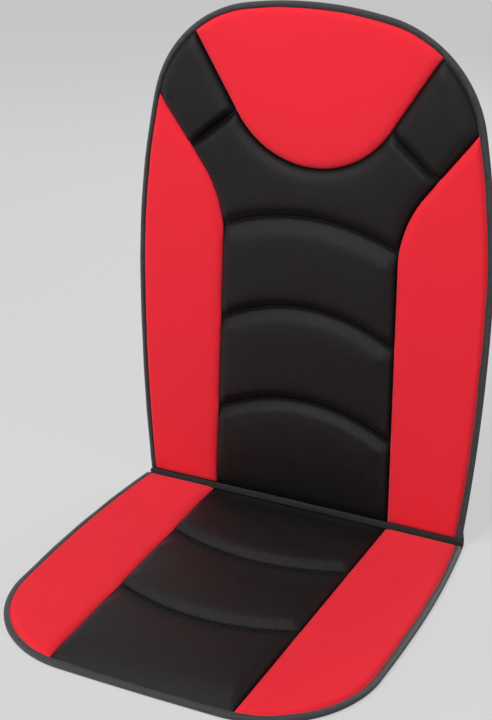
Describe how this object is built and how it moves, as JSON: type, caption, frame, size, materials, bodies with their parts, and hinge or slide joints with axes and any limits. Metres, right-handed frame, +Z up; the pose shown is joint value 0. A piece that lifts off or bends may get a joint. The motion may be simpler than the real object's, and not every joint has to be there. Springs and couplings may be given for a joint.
{
  "type": "car seat pad",
  "caption": "Padded car seat cover: a bound back pad and seat pad of red and black fabric with quilted channels, joined by a sewn fold that lets the back turn.",
  "frame": {"origin": "middle of the seat pad's flat underside, half way from the fold to the front edge, on the surface that the pad lies on", "axes": "+Z up, -Y to the front of the seat, +X to the right as seen from the front"},
  "size_m": [0.503, 0.506, 0.6969],
  "materials": {
    "red_fabric": "matt brushed polyester knit on foam",
    "black_fabric": "matt ribbed polyester weave on foam",
    "binding_tape": "matt woven polyester tape",
    "lining_fabric": "matt felted lining",
    "elastic": "woven elastic webbing",
    "foam": "open-cell foam"
  },
  "bodies": {
    "seat": {"seat_centre_panel": "black_fabric", "seat_left_panel": "red_fabric", "seat_right_panel": "red_fabric", "seat_foam_sheet": "foam", "seat_lining": "lining_fabric", "seat_edge_binding": "binding_tape", "fold_binding": "binding_tape"},
    "back": {"back_head_panel": "red_fabric", "back_yoke_panel": "black_fabric", "back_lumbar_panel": "black_fabric", "back_left_panel": "red_fabric", "back_right_panel": "red_fabric", "back_foam_sheet": "foam", "back_lining": "lining_fabric", "back_edge_binding": "binding_tape", "upper_strap": "elastic", "lower_strap": "elastic"}
  },
  "joints": [
    {"name": "fold", "type": "hinge", "parent": "seat", "child": "back", "pos_m": [0, 0.23, 0.01], "axis": [1, 0, 0], "range_deg": [-85, 78]}
  ]
}
